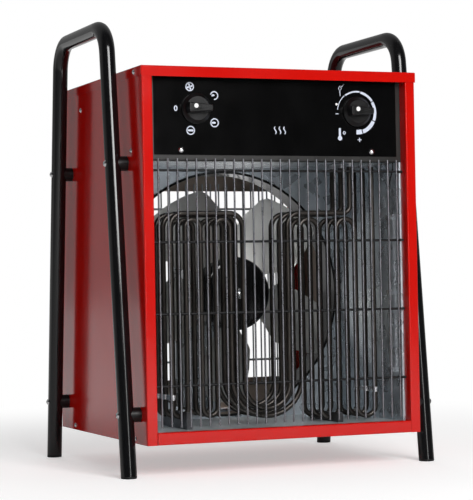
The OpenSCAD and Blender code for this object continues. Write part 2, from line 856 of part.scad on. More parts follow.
// Threaded ferrules that hold the cold ends in the roof, their nuts and the terminals above
module element_ferrules() {
    color(steel) at_terminals() difference() {
        union() {
            translate([0, 0, at_height(duct_high - ferrule_h)]) cylinder(h = ferrule_h, r = ferrule_r, $fn = 6);
            translate([0, 0, at_height(duct_high)]) cylinder(h = thread_h, r = thread_r);
        }
        translate([0, 0, at_height(duct_high - ferrule_h - over)])
            cylinder(h = thread_h + ferrule_h + 2 * over, r = element_r + seat);
    }
}
module element_nuts() {
    color(steel) at_terminals() translate([0, 0, at_height(roof_top_h)]) difference() {
        cylinder(h = ferrule_nut_h, r = ferrule_nut_r, $fn = 6);
        translate([0, 0, -over]) cylinder(h = ferrule_nut_h + 2 * over, r = thread_r + seat);
    }
}
module element_terminals() {
    color(zinc) at_terminals() translate([0, 0, at_height(cold_end_h)]) union() {
        cylinder(h = bead_h, r = bead_r);
        cylinder(h = bead_h + stud_h, r = stud_r);
    }
}

// Notched support combs that stand on the duct floor under a row of bottom bends
module element_comb(x, low) {
    front = element_depth - comb_front;
    rear = element_depth + 2 * row_pitch + comb_rear;
    top = low + comb_rise;
    slot = element_r + 3 * seat;
    difference() {
        union() {
            block([x - comb_t / 2, at_depth(front), at_height(duct_low)],
                [x + comb_t / 2, at_depth(rear), at_height(top)]);
            block([x - comb_t / 2, at_depth(front), at_height(duct_low)],
                [x - comb_t / 2 + comb_foot, at_depth(front) + comb_t, at_height(top)]);
        }
        for (row = rows) translate([0, row_y(row), at_height(low)]) {
            rod_x(x - comb_t, x + comb_t, slot);
            block([x - comb_t, -slot, 0], [x + comb_t, slot, comb_rise + over]);
        }
    }
}
module element_combs() {
    color(steel) {
        element_comb(outer_right + 3 / 2 * right_pitch, right_low);
        element_comb(outer_left - 7 / 2 * left_pitch, left_low);
    }
}

// Spring-steel clips that tie the outer legs of the three elements together
module element_clip(x) {
    collar_r = element_r + clip_wall;
    difference() {
        union() {
            for (row = rows) translate([x, row_y(row), 0]) cylinder(h = clip_h, r = collar_r);
            block([x - clip_bar / 2, row_y(0), 0], [x + clip_bar / 2, row_y(2), clip_h]);
        }
        for (row = rows) translate([x, row_y(row), -over]) cylinder(h = clip_h + 2 * over, r = element_r + 2 * seat);
    }
}
module element_clips() {
    color(steel) translate([0, 0, at_height(clip_low)]) {
        element_clip(last_right);
        element_clip(last_left);
    }
}

// Fan hub: a pressed cup with a boss on the motor shaft
module fan_hub() {
    color(black) translate([0, hub_y, axis_z]) difference() {
        union() {
            difference() {
                rod_y(0, hub_front + hub_back, hub_r);
                rod_y(hub_wall, hub_front + hub_back + over, hub_r - hub_wall);
            }
            rod_y(0, boss_l, boss_r);
        }
        rod_y(-over, boss_l + over, shaft_r + seat);
    }
}

// Sheet blades: round-ended petals set at the pitch angle round the hub
module blade_outline() {
    mid = fan_d / 2 - petal_r;
    root = petal_r * root_share;
    intersection() {
        union() {
            translate([0, mid]) circle(petal_r);
            polygon([[-root, hub_r / 2], [root, hub_r / 2], [petal_r, mid], [-petal_r, mid]]);
        }
        circle(fan_d / 2);
    }
}
module fan_blades() {
    color(zinc) translate([0, at_depth(fan_depth), axis_z]) difference() {
        for (i = [0:blade_count - 1]) rotate([0, blade_turn + i * 360 / blade_count, 0])
            rotate([0, 0, -blade_pitch]) along_y(-blade_t / 2, blade_t / 2) blade_outline();
        rod_y(-hub_r, hub_r, hub_r);
    }
}

module fan_nut() {
    color(steel) translate([0, hub_y - nut_h, axis_z]) difference() {
        union() {
            rotate([-90, 0, 0]) cylinder(h = nut_h, r = nut_r, $fn = 6);
            intersection() {
                sphere(nut_dome);
                rod_y(-nut_dome - over, over, nut_dome + over);
            }
        }
        rod_y(over, nut_h + over, shaft_r + seat);
    }
}

module motor_shaft() {
    color(steel) translate([0, 0, axis_z]) rod_y(hub_y - nut_h + 2 * over, motor_end_y + shaft_over, shaft_r);
}

// Laminated rotor core on the shaft
module motor_rotor() {
    color(steel) translate([0, 0, axis_z]) difference() {
        rod_y(core_y - rotor_over, core_end_y + rotor_over, rotor_r);
        rod_y(core_y - rotor_over - over, core_end_y + rotor_over + over, shaft_r + seat);
    }
}

// Stator core with its end windings as plain rings
module motor_stator() {
    bore = rotor_r + air_gap;
    color(steel) translate([0, 0, axis_z]) difference() {
        union() {
            rod_y(core_y, core_end_y, motor_r);
            rod_y(core_y - coil_l, core_end_y + coil_l, motor_r - coil_out);
        }
        rod_y(core_y - coil_l - over, core_end_y + coil_l + over, bore);
        rod_y(core_y - coil_l - over, core_y, bore + coil_in);
        rod_y(core_end_y, core_end_y + coil_l + over, bore + coil_in);
    }
}

// End shell of the motor: a cup with a bearing seat, closed towards -Y
module motor_shell() {
    seat_end = bearing_lip + bearing_w;
    difference() {
        union() {
            difference() {
                rod_y(0, shell_l, motor_r);
                rod_y(shell_wall, shell_l + over, motor_r - shell_wall);
            }
            rod_y(0, seat_end, bearing_r + bearing_wall);
        }
        rod_y(-over, seat_end, shaft_r + over);
        rod_y(bearing_lip, seat_end + over, bearing_r);
        for (a = [45:90:315]) rotate([0, a, 0]) translate([bracket_bolt * sqrt(2), 0, 0])
            rod_y(-over, shell_wall + over, screw_d / 2 + seat);
    }
}
module motor_front_shell() { color(black) translate([0, motor_y, axis_z]) motor_shell(); }
module motor_rear_shell() { color(black) translate([0, motor_end_y, axis_z]) mirror([0, 1, 0]) motor_shell(); }

module motor_bearings() {
    color(steel) for (y = [motor_y + bearing_lip, motor_end_y - bearing_lip - bearing_w])
        translate([0, y, axis_z]) difference() {
            rod_y(0, bearing_w, bearing_r - seat);
            rod_y(-over, bearing_w + over, shaft_r + seat);
        }
}

// Upright channel behind the motor, standing on the base and ending above the upper bolts
module motor_bracket() {
    edge = bracket_w / 2 - bracket_t / 2;
    web_cy = motor_end_y + bracket_t / 2;
    color(zinc) difference() {
        along_z(at_height(sheet_t), axis_z + bracket_bolt + bracket_flange) folded([
            [-edge, web_cy + bracket_flange], [-edge, web_cy], [edge, web_cy], [edge, web_cy + bracket_flange]], bracket_t);
        translate([0, 0, axis_z]) {
            rod_y(motor_end_y - over, motor_end_y + bracket_t + over, 2 * shaft_r);
            for (x = [-1, 1]) for (z = [-1, 1]) translate([x * bracket_bolt, 0, z * bracket_bolt])
                rod_y(motor_end_y - over, motor_end_y + bracket_t + over, screw_d / 2 + seat);
        }
    }
}
module motor_screws() {
    head_y = motor_end_y + bracket_t;
    color(steel) for (x = [-1, 1]) for (z = [-1, 1])
        translate([x * bracket_bolt, 0, axis_z + z * bracket_bolt]) union() {
            rod_y(head_y - screw_l, head_y, screw_d / 2);
            rotate([0, 0, 90]) head_x(head_y, screw_head_d / 2, screw_head_h);
        }
}

module start_capacitor() {
    color(zinc) translate([capacitor_x, at_depth(capacitor_depth), at_height(roof_top_h) + capacitor_r]) union() {
        rod_y(0, capacitor_l, capacitor_r);
        for (x = [-1, 1]) translate([x * capacitor_r / 3, 0, 0]) rod_y(-blade_l, 0, blade_thin);
    }
}

// Rotary switch and its spindle
module rotary_switch() {
    color(steel) translate([-knob_x, behind_y, at_height(knob_h)]) difference() {
        union() {
            block([-switch_w / 2, 0, -switch_w / 2], [switch_w / 2, switch_l, switch_w / 2]);
            for (i = [-1:1]) for (s = [-1, 1])
                block([i * blade_step - blade_w / 2, switch_l - over, s * blade_step - blade_thin / 2],
                    [i * blade_step + blade_w / 2, switch_l + blade_l, s * blade_step + blade_thin / 2]);
        }
        rod_y(-over, spindle_in + over, spindle_r + seat);
    }
}
module spindle() {
    rod_y(plate_y - spindle_out, behind_y + spindle_in, spindle_r);
}
module switch_shaft() { color(steel) translate([-knob_x, 0, at_height(knob_h)]) spindle(); }
module thermostat_shaft() { color(steel) translate([knob_x, 0, at_height(knob_h)]) spindle(); }

// Knob with a bevelled skirt and a tapered grip whose wide end is the pointer
module knob() {
    base_y = plate_y - knob_gap;
    face_y = plate_y - knob_l;
    difference() {
        translate([0, base_y, 0]) rotate([90, 0, 0]) union() {
            rotate_extrude() polygon([[0, 0], [knob_r, 0], [knob_r, skirt_h], [shoulder_r, shoulder_h], [0, shoulder_h]]);
            linear_extrude(base_y - face_y) intersection() {
                circle(grip_r);
                polygon([[-knob_r, grip_wide], [-knob_r, -grip_wide], [knob_r, -grip_narrow], [knob_r, grip_narrow]]);
            }
        }
        rod_y(plate_y - spindle_out - over, base_y + over, spindle_r + seat);
    }
}
module switch_knob() { color(black) translate([-knob_x, 0, at_height(knob_h)]) knob(); }
module thermostat_knob() { color(black) translate([knob_x, 0, at_height(knob_h)]) knob(); }

module thermostat_body() {
    color(steel) translate([knob_x, behind_y, at_height(knob_h)]) difference() {
        union() {
            block([-stat_w / 2, 0, -stat_w / 2], [stat_w / 2, stat_l, stat_w / 2]);
            rod_y(stat_l - over, stat_l + drum_l, drum_r);
        }
        rod_y(-over, spindle_in + over, spindle_r + seat);
    }
}

// Thin tube through the given points, with a small knuckle at each bend
module tube_run(pts) {
    for (i = [0:len(pts) - 2]) {
        d = pts[i + 1] - pts[i];
        translate(pts[i]) rotate([0, acos(d.z / norm(d)), atan2(d.y, d.x)]) cylinder(h = norm(d), r = capillary_r);
    }
    for (i = [1:len(pts) - 2]) translate(pts[i]) sphere(knuckle_r);
}
// Capillary: down from the thermostat, across, through the roof and back to the bulb
module capillary_tube() {
    start_x = knob_x + stat_w / 4;
    front = at_depth(capillary_front);
    rear = at_depth(bulb_depth);
    color(black) tube_run([
        [start_x, front, at_height(knob_h) - stat_w / 2],
        [start_x, front, at_height(duct_high + roof_flange_h)],
        [bulb_x, front, at_height(duct_high + roof_flange_h)],
        [bulb_x, front, at_height(duct_high - capillary_drop)],
        [bulb_x, rear, at_height(duct_high - capillary_drop - capillary_jog)],
        [bulb_x, rear, at_height(bulb_high)]]);
}
module sensor_bulb() {
    color(steel) translate([bulb_x, at_depth(bulb_depth), at_height(bulb_low)])
        cylinder(h = bulb_high - bulb_low, r = bulb_r);
}
module bulb_clips() {
    color(steel) for (share = [0.02, 0.5, 0.96]) translate([0, at_depth(bulb_depth),
        at_height(bulb_low + share * (bulb_high - bulb_low))]) difference() {
            block([duct_w / 2 - clip_reach, -clip_w / 2, 0], [duct_w / 2, clip_w / 2, clip_h]);
            translate([bulb_x, 0, -over]) cylinder(h = clip_h + 2 * over, r = bulb_r + 2 * seat);
        }
}

// Thermal cut-out behind the panel, its button and the button's spring
module thermal_cutout() {
    color(black) translate([reset_x, behind_y, at_height(knob_h + reset_rise)]) difference() {
        block([-cutout_w / 2, 0, -cutout_h / 2], [cutout_w / 2, cutout_l, cutout_h / 2]);
        rod_y(-over, well_l, well_r);
        rod_y(0, well_l + reset_l, reset_r + seat);
    }
}
module reset_button() {
    color(zinc) translate([reset_x, 0, at_height(knob_h + reset_rise)]) union() {
        rod_y(plate_y - reset_out, plate_y - reset_out + reset_l, reset_r);
        rod_y(behind_y + seat, behind_y + seat + reset_head_t, reset_head_r);
    }
}
module reset_spring() {
    color(steel) translate([reset_x, 0, at_height(knob_h + reset_rise)]) difference() {
        rod_y(behind_y + seat + reset_head_t, behind_y + well_l, spring_out);
        rod_y(behind_y, behind_y + well_l + over, spring_in);
    }
}

// Contactor on the roof, with the armature bar that shows in its top
module contactor() {
    half = contactor_size / 2;
    slot = armature_size / 2;
    color(steel) translate([contactor_x, at_depth(contactor_depth), at_height(roof_top_h)]) difference() {
        union() {
            block([-half.x, -half.y, 0], [half.x, half.y, contactor_size.z]);
            for (s = [-1, 1]) block([-half.x, s * half.y - hem / 2, 0], [half.x, s * half.y + hem / 2, hem]);
        }
        block([-slot.x - slide_gap, -slot.y - slide_gap, contactor_size.z - armature_well],
            [slot.x + slide_gap, slot.y + slide_gap, contactor_size.z + over]);
    }
}
module contactor_armature() {
    slot = armature_size / 2;
    top = at_height(roof_top_h + contactor_size.z) + armature_out;
    color(black) translate([contactor_x, at_depth(contactor_depth), 0])
        block([-slot.x, -slot.y, top - armature_size.z], [slot.x, slot.y, top]);
}

// Terminal block for the supply, with a barrier between each pair of clamps
module terminal_block() {
    step = block_size.x / block_ways;
    color(zinc) translate([block_x, at_depth(block_depth), at_height(roof_top_h)]) union() {
        block([0, 0, 0], [block_size.x, block_size.y, block_size.z / 2]);
        for (i = [0:block_ways]) translate([min(i * step, block_size.x - 2 * sheet_t), 0, 0])
            cube([2 * sheet_t, block_size.y, block_size.z]);
    }
}

// Cable gland in the rear panel
module cable_gland() {
    color(black) translate([gland_x, rear_y, at_height(gland_h)]) difference() {
        union() {
            rod_y(-gland_in, over, gland_thread_r);
            rotate([-90, 0, 0]) cylinder(h = gland_hex_t, r = gland_hex_r, $fn = 6);
            rod_y(gland_hex_t - over, gland_hex_t + gland_cap_l, gland_cap_r);
        }
        rod_y(-gland_in - over, gland_hex_t + gland_cap_l + over, gland_bore_r);
    }
}
module gland_nut() {
    color(black) translate([gland_x, rear_y - sheet_t - gland_nut_t, at_height(gland_h)]) difference() {
        rotate([-90, 0, 0]) cylinder(h = gland_nut_t, r = gland_nut_r, $fn = 6);
        rod_y(-over, gland_nut_t + over, gland_thread_r + seat);
    }
}

side_panel_left();
side_panel_right();
top_cover();
base_pan();
rear_panel();
control_carrier();
control_plate();
duct_roof();
fan_bulkhead();
fan_ring();
duct_wall_left();
duct_wall_right();
duct_floor();
front_grille();
rear_grille();
case_screws();
panel_screws();
tube_frame_left();
tube_frame_right();
foot_caps();
frame_spacers();
frame_bolts();
frame_nuts();
heating_element_front();
heating_element_middle();
heating_element_rear();
element_ferrules();
element_nuts();
element_terminals();
element_combs();
element_clips();
fan_hub();
fan_blades();
fan_nut();
motor_shaft();
motor_rotor();
motor_stator();
motor_front_shell();
motor_rear_shell();
motor_bearings();
motor_bracket();
motor_screws();
start_capacitor();
rotary_switch();
switch_shaft();
switch_knob();
thermostat_body();
thermostat_shaft();
thermostat_knob();
capillary_tube();
sensor_bulb();
bulb_clips();
thermal_cutout();
reset_button();
reset_spring();
contactor();
contactor_armature();
terminal_block();
cable_gland();
gland_nut();
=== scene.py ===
import math

import bmesh
import bpy
from mathutils import Matrix, Vector


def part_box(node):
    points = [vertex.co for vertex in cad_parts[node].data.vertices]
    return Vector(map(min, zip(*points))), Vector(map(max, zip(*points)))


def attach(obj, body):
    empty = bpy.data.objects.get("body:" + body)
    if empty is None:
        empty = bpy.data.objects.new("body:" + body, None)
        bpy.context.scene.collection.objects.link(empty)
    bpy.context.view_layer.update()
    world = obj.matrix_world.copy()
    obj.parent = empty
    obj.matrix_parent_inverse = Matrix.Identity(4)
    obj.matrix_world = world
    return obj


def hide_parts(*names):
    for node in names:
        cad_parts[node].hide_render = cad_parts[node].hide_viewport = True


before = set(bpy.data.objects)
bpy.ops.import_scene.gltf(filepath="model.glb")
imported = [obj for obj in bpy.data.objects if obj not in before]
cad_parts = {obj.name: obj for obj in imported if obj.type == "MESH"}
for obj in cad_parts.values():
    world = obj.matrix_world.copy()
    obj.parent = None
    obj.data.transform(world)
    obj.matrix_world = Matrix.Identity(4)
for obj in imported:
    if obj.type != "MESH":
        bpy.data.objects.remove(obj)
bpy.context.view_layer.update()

# The casing: side panels, lid, base and rear panel are folded 1.2 mm steel sheet under a glossy
# red powder coat, with a faint large wave. Inside, the side and rear panels have the coil's
# grey-brown back coat, and the base is bare zinc.
mm = 0.001
casing_low, wall_inside = 50 * mm, 231 * mm
same_place = 0.002 * mm


def surface(name, colours, patch, rough, relief=0.0, grain=1.0, metallic=0.0, level=0.5, cells=False,
            stretch=(1, 1, 1)):
    """A finish whose colour and gloss drift over patches of a given size, with a fine relief."""
    mat = bpy.data.materials.new(name)
    mat.use_nodes = True
    new, link = mat.node_tree.nodes.new, mat.node_tree.links.new
    skin = mat.node_tree.nodes["Principled BSDF"]
    skin.inputs["Metallic"].default_value = metallic
    skin.inputs["Specular IOR Level"].default_value = level
    place = new("ShaderNodeTexCoord")
    turn = new("ShaderNodeMapping")
    turn.inputs["Scale"].default_value = stretch
    link(place.outputs["Object"], turn.inputs["Vector"])
    if cells:
        patches = new("ShaderNodeTexVoronoi")
        split = new("ShaderNodeSeparateColor")
        link(patches.outputs["Color"], split.inputs["Color"])
        share = split.outputs["Red"]
    else:
        patches = new("ShaderNodeTexNoise")
        patches.inputs["Detail"].default_value = 4
        share = patches.outputs["Fac"]
    patches.inputs["Scale"].default_value = 1 / patch
    link(turn.outputs["Vector"], patches.inputs["Vector"])
    blend = new("ShaderNodeMix")
    blend.data_type = "RGBA"
    blend.inputs[6].default_value = (*colours[0], 1)
    blend.inputs[7].default_value = (*colours[1], 1)
    link(share, blend.inputs[0])
    link(blend.outputs[2], skin.inputs["Base Color"])
    spread = new("ShaderNodeMapRange")
    spread.inputs["From Min"].default_value = 0.3 if not cells else 0
    spread.inputs["From Max"].default_value = 0.7 if not cells else 1
    spread.inputs["To Min"].default_value = rough[0]
    spread.inputs["To Max"].default_value = rough[1]
    link(share, spread.inputs["Value"])
    link(spread.outputs["Result"], skin.inputs["Roughness"])
    if relief:
        fine = new("ShaderNodeTexNoise")
        fine.inputs["Scale"].default_value = 1 / grain
        fine.inputs["Detail"].default_value = 3
        link(turn.outputs["Vector"], fine.inputs["Vector"])
        bump = new("ShaderNodeBump")
        bump.inputs["Distance"].default_value = relief
        bump.inputs["Strength"].default_value = 0.6
        link(fine.outputs["Fac"], bump.inputs["Height"])
        link(bump.outputs["Normal"], skin.inputs["Normal"])
    return mat


def piece(name, bm, material, body="heater", nodes=(), flat=False):
    """A new object from a bmesh, with its finish, its body and the CAD nodes that it stands for."""
    for face in bm.faces:
        face.smooth = not flat
    mesh = bpy.data.meshes.new(name)
    bm.to_mesh(mesh)
    bm.free()
    obj = bpy.data.objects.new(name, mesh)
    bpy.context.scene.collection.objects.link(obj)
    mesh.materials.append(material)
    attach(obj, body)
    if nodes:
        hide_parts(*nodes)
    return obj


def sharpen(bm, crease=math.radians(32)):
    """Marks the edges that stay crisp when the faces shade smooth."""
    for edge in bm.edges:
        edge.smooth = edge.is_manifold and edge.calc_face_angle() < crease


def even_shading(obj):
    """Keeps flat faces flat where they run into a rounded fold."""
    steady = obj.modifiers.new("even shading", "WEIGHTED_NORMAL")
    steady.keep_sharp = True
    steady.weight = 80
    return obj


def dressed(node, material, body="heater"):
    """A CAD node's shape as one joined skin: its curves shade smooth and its folds stay crisp."""
    bm = bmesh.new()
    bm.from_mesh(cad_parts[node].data)
    bmesh.ops.remove_doubles(bm, verts=bm.verts, dist=same_place)
    sharpen(bm)
    return even_shading(piece(node + "_skin", bm, material, body, [node]))


red_coat = surface("red powder coat", [(0.50, 0.003, 0.001), (0.545, 0.0045, 0.0015)], 110 * mm, (0.11, 0.17),
                   relief=0.25 * mm, grain=70 * mm, level=0.5)
back_coat = surface("grey-brown back coat", [(0.46, 0.38, 0.31), (0.58, 0.49, 0.41)], 35 * mm, (0.4, 0.55),
                    relief=0.02 * mm, grain=2 * mm)
zinc_sheet = surface("zinc-coated sheet", [(0.56, 0.61, 0.66), (0.61, 0.67, 0.72)], 16 * mm, (0.24, 0.34),
                     relief=0.08 * mm, grain=60 * mm, metallic=0.72, cells=True)


def backed(node, finish, inner):
    """A red panel whose faces on the inside of the casing have another finish."""
    skin = dressed(node, red_coat)
    skin.data.materials.append(finish)
    for face in skin.data.polygons:
        if inner(face.center, face.normal):
            face.material_index = 1


# A face is on the inside where it looks back towards the middle of the casing.
dressed("top_cover", red_coat)
for node in ("side_panel_left", "side_panel_right"):
    backed(node, back_coat,
           lambda at, way: (way.x * at.x < -0.2 and abs(at.x) > wall_inside) or way.y * at.y < -0.15)
backed("rear_panel", back_coat, lambda at, way: way.y < -0.9)
backed("base_pan", zinc_sheet,
       lambda at, way: (way.z > 0.5 and at.z < casing_low + 2.5 * mm) or way.y * at.y < -0.05)

# The two carrying frames: bent 25 mm steel tube under gloss black enamel, swept from the middle of
# the handle round the bend and down the slanted leg, then mirrored for the other leg.
black_enamel = surface("gloss black enamel", [(0.003, 0.003, 0.0035), (0.006, 0.006, 0.0065)], 60 * mm,
                       (0.1, 0.17), relief=0.02 * mm, grain=5 * mm, level=0.5)
black_moulding = surface("black moulding", [(0.003, 0.003, 0.003), (0.0055, 0.0055, 0.006)], 14 * mm,
                         (0.28, 0.38), relief=0.02 * mm, grain=0.7 * mm, level=0.35)
tube_r, bend_r, bar_h = 12.5 * mm, 48 * mm, 701.5 * mm
foot_spread, bar_spread = 400 * mm, 246 * mm
leg_slope = (foot_spread - bar_spread) / 2 / bar_h
leg_tilt = math.atan(leg_slope)
bend_start = bar_spread / 2 - bend_r * math.tan((math.radians(90) - leg_tilt) / 2)
leg_drawn, tube_end = 750 * mm, 4 * mm
frame_x, frame_mid = 255.5 * mm, -9.25 * mm
facing = Matrix.Rotation(math.radians(90), 4, "X")


def cut_off(bm, place, normal):
    """Cuts everything away on the normal's side of a plane and closes the cut."""
    cut = bmesh.ops.bisect_plane(bm, geom=bm.verts[:] + bm.edges[:] + bm.faces[:], plane_co=place,
                                 plane_no=normal, clear_outer=True)
    rim = [e for e in cut["geom_cut"] if isinstance(e, bmesh.types.BMEdge)]
    bmesh.ops.edgeloop_fill(bm, edges=rim)


def pulled(bm, edges, step):
    """Draws a ring of edges out along a step and returns the new ring."""
    new_part = bmesh.ops.extrude_edge_only(bm, edges=edges)["geom"]
    bmesh.ops.translate(bm, vec=step, verts=[g for g in new_part if isinstance(g, bmesh.types.BMVert)])
    return [g for g in new_part if isinstance(g, bmesh.types.BMEdge)]


for side, word in ((-1, "left"), (1, "right")):
    bm = bmesh.new()
    bmesh.ops.create_circle(bm, segments=48, radius=tube_r, matrix=Matrix.Translation((0, 0, bar_h)) @ facing)
    ring = pulled(bm, bm.edges[:], (0, bend_start, 0))
    around = list({v for e in ring for v in e.verts})
    bend = bmesh.ops.spin(bm, geom=ring + around, cent=(0, bend_start, bar_h - bend_r), axis=(-1, 0, 0),
                          angle=math.radians(90) - leg_tilt, steps=20)["geom_last"]
    ring = [g for g in bend if isinstance(g, bmesh.types.BMEdge)]
    pulled(bm, ring, (0, leg_drawn * math.sin(leg_tilt), -leg_drawn * math.cos(leg_tilt)))
    cut_off(bm, (0, 0, tube_end), (0, 0, -1))
    bmesh.ops.mirror(bm, geom=bm.verts[:] + bm.edges[:] + bm.faces[:], axis="Y", merge_dist=0.01 * mm)
    bmesh.ops.recalc_face_normals(bm, faces=bm.faces)
    bmesh.ops.translate(bm, vec=(side * frame_x, frame_mid, 0), verts=bm.verts)
    sharpen(bm)
    piece("frame_tube_" + word, bm, black_enamel, nodes=["tube_frame_" + word])

# Foot caps: black plastic, pushed into the tubes, with a rim of the tube's own width that is
# rounded where it meets the floor.


def repeated(part, places):
    """One bmesh with a copy of the part at each place."""
    whole, one = bmesh.new(), bpy.data.meshes.new("one")
    part.to_mesh(one)
    part.free()
    for place in places:
        count = len(whole.verts)
        whole.from_mesh(one)
        whole.verts.ensure_lookup_table()
        bmesh.ops.transform(whole, matrix=place, verts=whole.verts[count:])
    bpy.data.meshes.remove(one)
    bmesh.ops.recalc_face_normals(whole, faces=whole.faces)
    return whole


caps = bmesh.new()
cap_top = 4.4
bmesh.ops.create_circle(caps, segments=48, radius=tube_r, matrix=Matrix.Translation((0, 0, cap_top * mm)))
ring, level_now, size_now = caps.edges[:], cap_top, 1.0
for level, size in ((4, 1.0), (1.1, 1.0), (0.5, 0.985), (0.15, 0.955), (0, 0.91)):
    ring = pulled(caps, ring, (0, 0, (level - level_now) * mm))
    around = list({v for e in ring for v in e.verts})
    bmesh.ops.scale(caps, vec=(size / size_now, size / size_now, 1), verts=around)
    level_now, size_now = level, size
bmesh.ops.edgeloop_fill(caps, edges=ring)
lean = Matrix.Identity(4)
lean[1][2] = -leg_slope
places = [Matrix.Translation((x * frame_x, frame_mid, 0)) @ Matrix.Diagonal((1, y, 1, 1))
          @ Matrix.Translation((0, foot_spread / 2, 0)) @ lean for x in (-1, 1) for y in (-1, 1)]
caps = repeated(caps, places)
sharpen(caps, math.radians(50))
piece("rounded_foot_caps", caps, black_moulding, nodes=["foot_caps"])

# Spacers: black plastic sleeves with a saddle for the tube. One sits at each frame bolt, between the
# tube and the casing's side.
dressed("frame_spacers", black_moulding)

# Frame bolts and casing screws: zinc-bright steel with domed heads, each with a round driver's
# recess in its middle. Their shanks hide in the sheet.
bright_steel = surface("bright steel", [(0.62, 0.62, 0.64), (0.74, 0.74, 0.75)], 3 * mm, (0.14, 0.28),
                       metallic=1.0)


def solids(node):
    """The lowest and highest corner of each separate solid of a CAD node."""
    bm = bmesh.new()
    bm.from_mesh(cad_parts[node].data)
    bmesh.ops.remove_doubles(bm, verts=bm.verts, dist=same_place)
    left, found = set(bm.verts), []
    while left:
        front, island = [left.pop()], []
        while front:
            vert = front.pop()
            island.append(vert.co.copy())
            for edge in vert.link_edges:
                other = edge.other_vert(vert)
                if other in left:
                    left.remove(other)
                    front.append(other)
        found.append((Vector([min(c[i] for c in island) for i in range(3)]),
                      Vector([max(c[i] for c in island) for i in range(3)])))
    bm.free()
    return sorted(found, key=lambda pair: tuple(round(c, 5) for c in pair[0]))


def turned(profile, steps=40):
    """A solid of revolution about Z from a profile of (radius, height) points."""
    bm = bmesh.new()
    verts = [bm.verts.new((r, 0, z)) for r, z in profile]
    edges = [bm.edges.new(pair) for pair in zip(verts, verts[1:])]
    bmesh.ops.spin(bm, geom=verts + edges, cent=(0, 0, 0), axis=(0, 0, 1), angle=math.tau, steps=steps,
                   use_merge=True)
    bmesh.ops.remove_doubles(bm, verts=bm.verts, dist=same_place)
    bmesh.ops.recalc_face_normals(bm, faces=bm.faces)
    return bm


def head(radius, height, recess, depth):
    """A domed screw head on Z = 0 with a round recess in its top, and its hidden shank."""
    ball = (radius ** 2 + height ** 2) / (2 * height)
    rim = math.asin(radius / ball)
    rise = [(ball * math.sin(rim * k / 6), height - ball + ball * math.cos(rim * k / 6)) for k in range(7)]
    crown = [(r, z) for r, z in rise if r > recess]
    bm = turned([(0, -depth), (radius * 0.5, -depth), (radius * 0.5, 0), (radius, 0)] + crown[::-1]
                + [(recess, crown[0][1] + 0.05 * height), (recess, height * 0.25), (0, height * 0.2)],
                steps=24)
    sharpen(bm)
    return bm


to_side = {1: Matrix.Rotation(math.radians(90), 4, "Y"), -1: Matrix.Rotation(math.radians(-90), 4, "Y")}


def side_seats(node, reach):
    """Where the sideways screws of a node have their seats: one turned place for each."""
    seats = []
    for low, high in solids(node):
        side = 1 if low.x > 0 else -1
        tip = high.x if side > 0 else low.x
        middle = (low + high) / 2
        seats.append(Matrix.Translation((tip - side * reach, middle.y, middle.z)) @ to_side[side])
    return seats


bolt_rise, screw_rise = 3.3 * mm, 2.4 * mm
bolts = repeated(head(5.25 * mm, bolt_rise, 1.9 * mm, 20 * mm), side_seats("frame_bolts", bolt_rise))
piece("frame_bolt_heads", bolts, bright_steel, nodes=["frame_bolts"])
screws = repeated(head(4 * mm, screw_rise, 1.1 * mm, 7 * mm), side_seats("case_screws", screw_rise))
piece("case_screw_heads", screws, bright_steel, nodes=["case_screws"])
dressed("frame_nuts", bright_steel)

# The grilles: straight drawn wires, spot-welded to four cross wires. The front one is plated
# black-nickel and hangs in the holes of the side panels' flanges; its cross wires are coloured
# near black as painted shade, for the highlight that they miss. The rear one is left zinc-bright.
black_wire = surface("black nickel wire", [(0.17, 0.17, 0.186), (0.30, 0.30, 0.325)], 12 * mm, (0.24, 0.36),
                     relief=0.02 * mm, grain=1.5 * mm, metallic=0.92)
# Near black for the front cross wires: painted shade, since they are the same wire as the uprights.
painted_shade_rung = surface("cross wire painted dark as shade", [(0.004, 0.004, 0.0045), (0.008, 0.008, 0.009)], 12 * mm, (0.4, 0.5),
                     relief=0.02 * mm, grain=1.5 * mm, level=0.3)
zinc_wire = surface("zinc wire", [(0.42, 0.45, 0.48), (0.6, 0.62, 0.64)], 20 * mm, (0.3, 0.42), metallic=0.9)
rung_back, rung_low, rung_pitch, rung_count = -220.3 * mm, 138.5 * mm, 110.7 * mm, 4
front_wires = dressed("front_grille", black_wire)
front_wires.data.materials.append(painted_shade_rung)
# The front grille's cross-wire faces take the near-black finish: painted shade.
for face in front_wires.data.polygons:
    off_rung = min(abs(face.center.z - rung_low - i * rung_pitch) for i in range(rung_count))
    if face.center.y > rung_back and off_rung < 2 * mm:
        face.material_index = 1
dressed("rear_grille", zinc_wire)

# The duct: roof, side liners, fan bulkhead and motor bracket of hot-dip zinc-coated sheet, whose
# crystals show as faint bluish patches, over a floor of duller zinc. The fan ring is spun steel,
# coated black.
for node in ("duct_roof", "duct_wall_left", "duct_wall_right", "fan_bulkhead", "motor_bracket"):
    dressed(node, zinc_sheet)
matt_zinc = surface("matt zinc sheet", [(0.56, 0.61, 0.65), (0.68, 0.73, 0.76)], 20 * mm, (0.28, 0.42),
                    relief=0.1 * mm, grain=40 * mm, metallic=0.4)
dressed("duct_floor", matt_zinc)
dressed("fan_ring", black_enamel)

